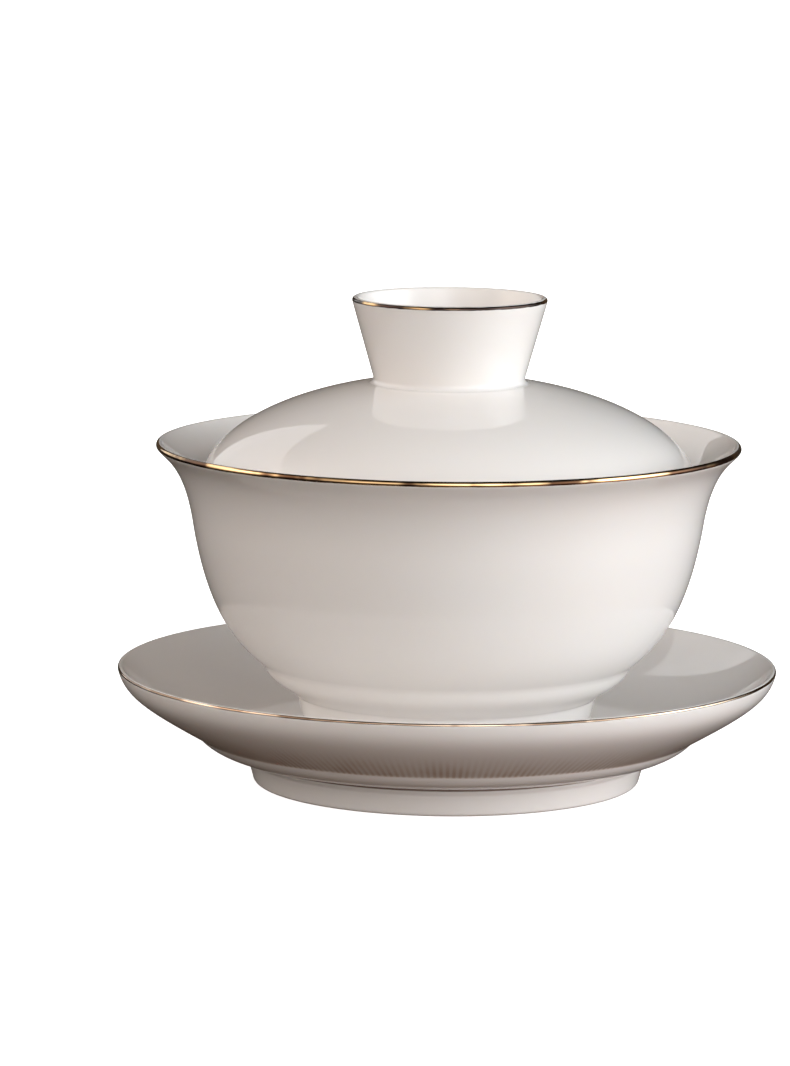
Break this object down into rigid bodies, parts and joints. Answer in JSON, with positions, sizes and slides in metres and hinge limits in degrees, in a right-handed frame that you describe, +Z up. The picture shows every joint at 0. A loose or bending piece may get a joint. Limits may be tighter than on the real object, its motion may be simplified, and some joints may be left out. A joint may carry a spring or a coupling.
{
  "type": "gaiwan",
  "caption": "Lidded porcelain tea bowl standing on its saucer, with thin gilt edges and a flared open ring as the knob on the domed lid.",
  "frame": {"origin": "centre of the saucer's foot ring, on the surface that it stands on", "axes": "+Z up, along the common axis of the saucer, the bowl and the lid"},
  "size_m": [0.115, 0.115, 0.085],
  "materials": {
    "porcelain": "warm white porcelain under a clear, very glossy glaze",
    "gilt": "bright polished gilt, painted on by hand"
  },
  "bodies": {
    "saucer_body": {"saucer": "porcelain", "saucer_gilt_edge": "gilt"},
    "bowl_body": {"bowl": "porcelain", "bowl_gilt_rim": "gilt"},
    "lid_body": {"lid_dome": "porcelain", "lid_knob": "porcelain", "knob_gilt_rim": "gilt"}
  },
  "joints": [
    {"name": "bowl_lift", "type": "slide", "parent": "saucer_body", "child": "bowl_body", "axis": [0, 0, 1], "range_m": [0, 0.03]},
    {"name": "lid_lift", "type": "slide", "parent": "bowl_body", "child": "lid_body", "axis": [0, 0, 1], "range_m": [0, 0.04]}
  ]
}
